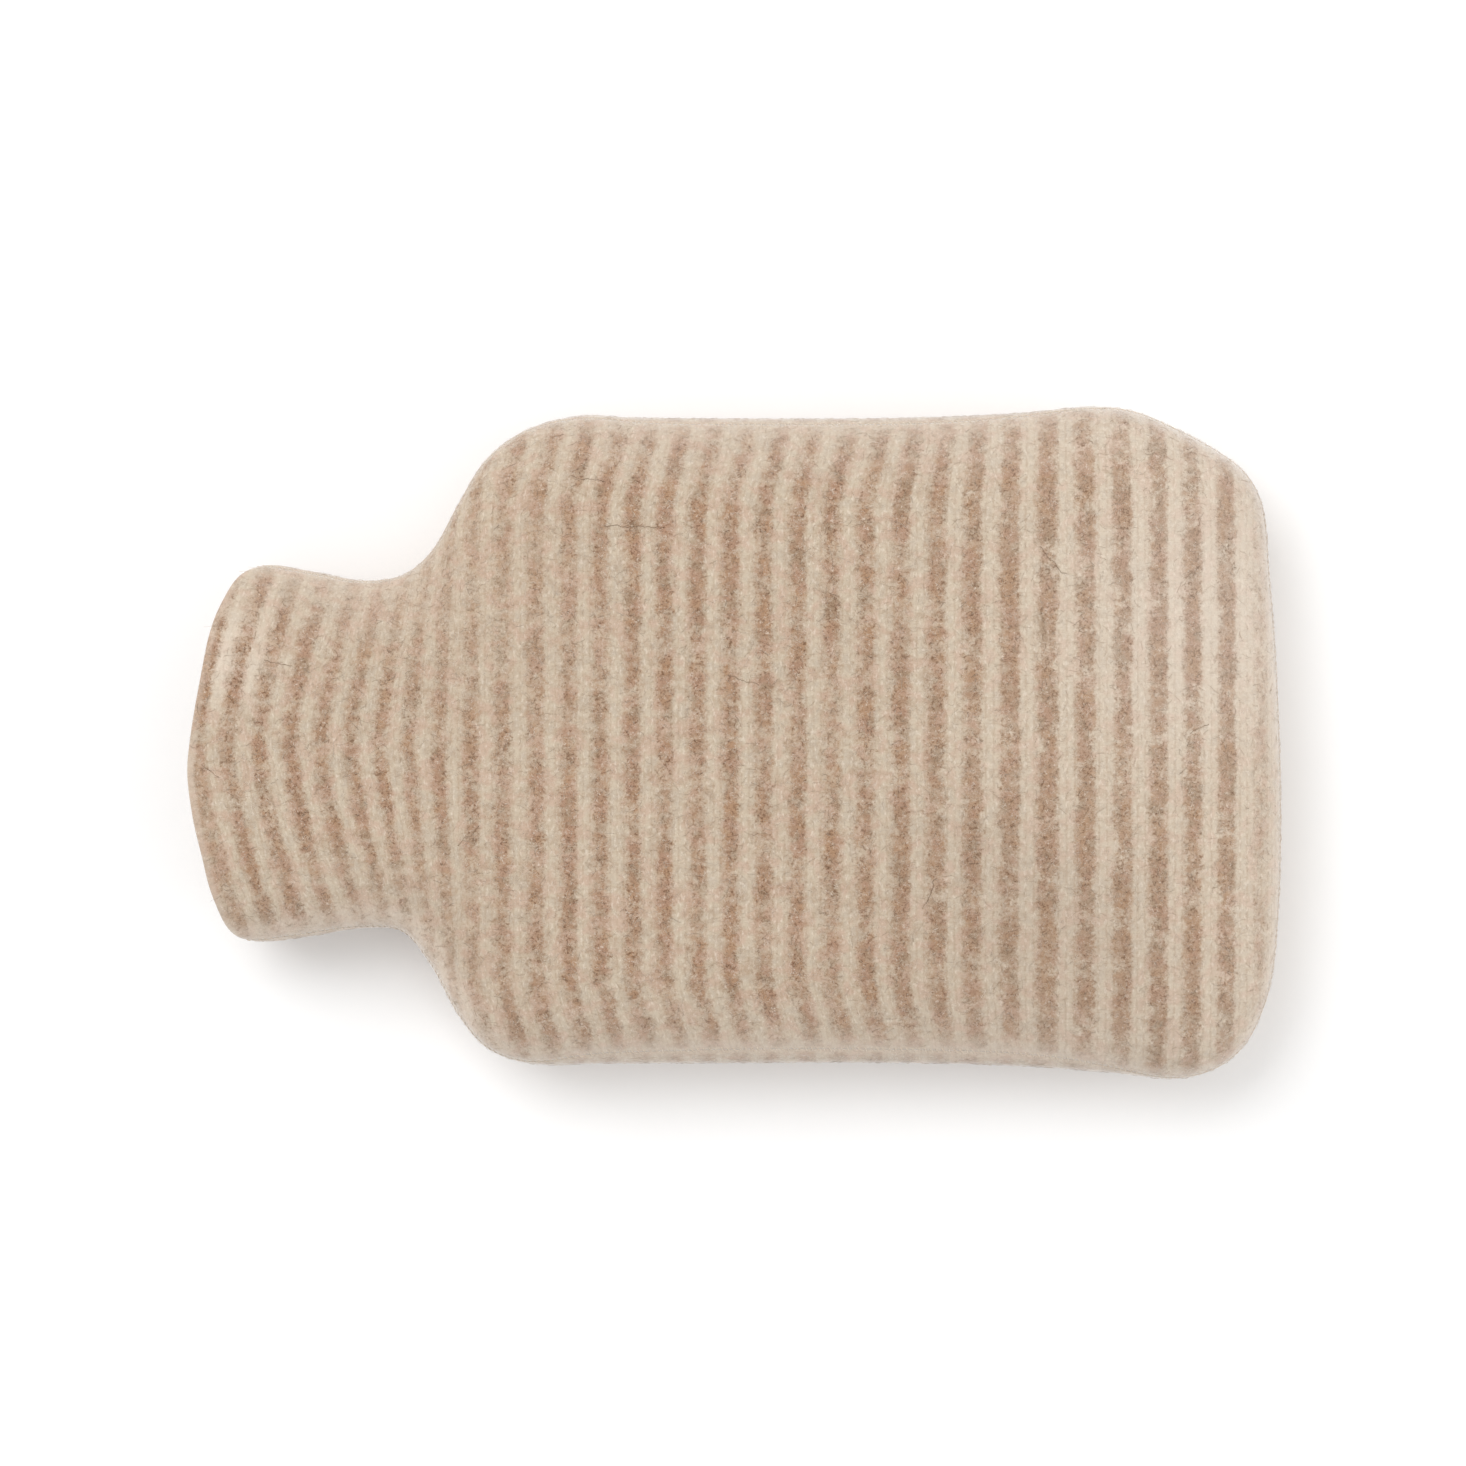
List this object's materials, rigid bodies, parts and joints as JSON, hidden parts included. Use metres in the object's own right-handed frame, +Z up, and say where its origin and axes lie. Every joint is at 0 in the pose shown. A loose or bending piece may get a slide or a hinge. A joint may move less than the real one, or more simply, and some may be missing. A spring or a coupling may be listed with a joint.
{
  "type": "hot water bottle cover",
  "caption": "Hollow cover of milled striped wool knit for a hot water bottle, in its filled shape, lying on its back, with a wide open neck and a seam round its sides and base.",
  "frame": {"origin": "centre of the cover's footprint, on the surface that it rests on", "axes": "+X from the mouth of the neck to the base, +Y across the cover, +Z up out of its front"},
  "size_m": [0.3499, 0.2149, 0.0515],
  "materials": {
    "front_cloth": "milled wool knit in narrow cream and camel heather stripes, matt and hairy",
    "back_cloth": "milled wool knit in narrow cream and camel heather stripes, matt and hairy"
  },
  "bodies": {
    "root": {"front_panel": "front_cloth", "back_panel": "back_cloth"}
  },
  "joints": []
}
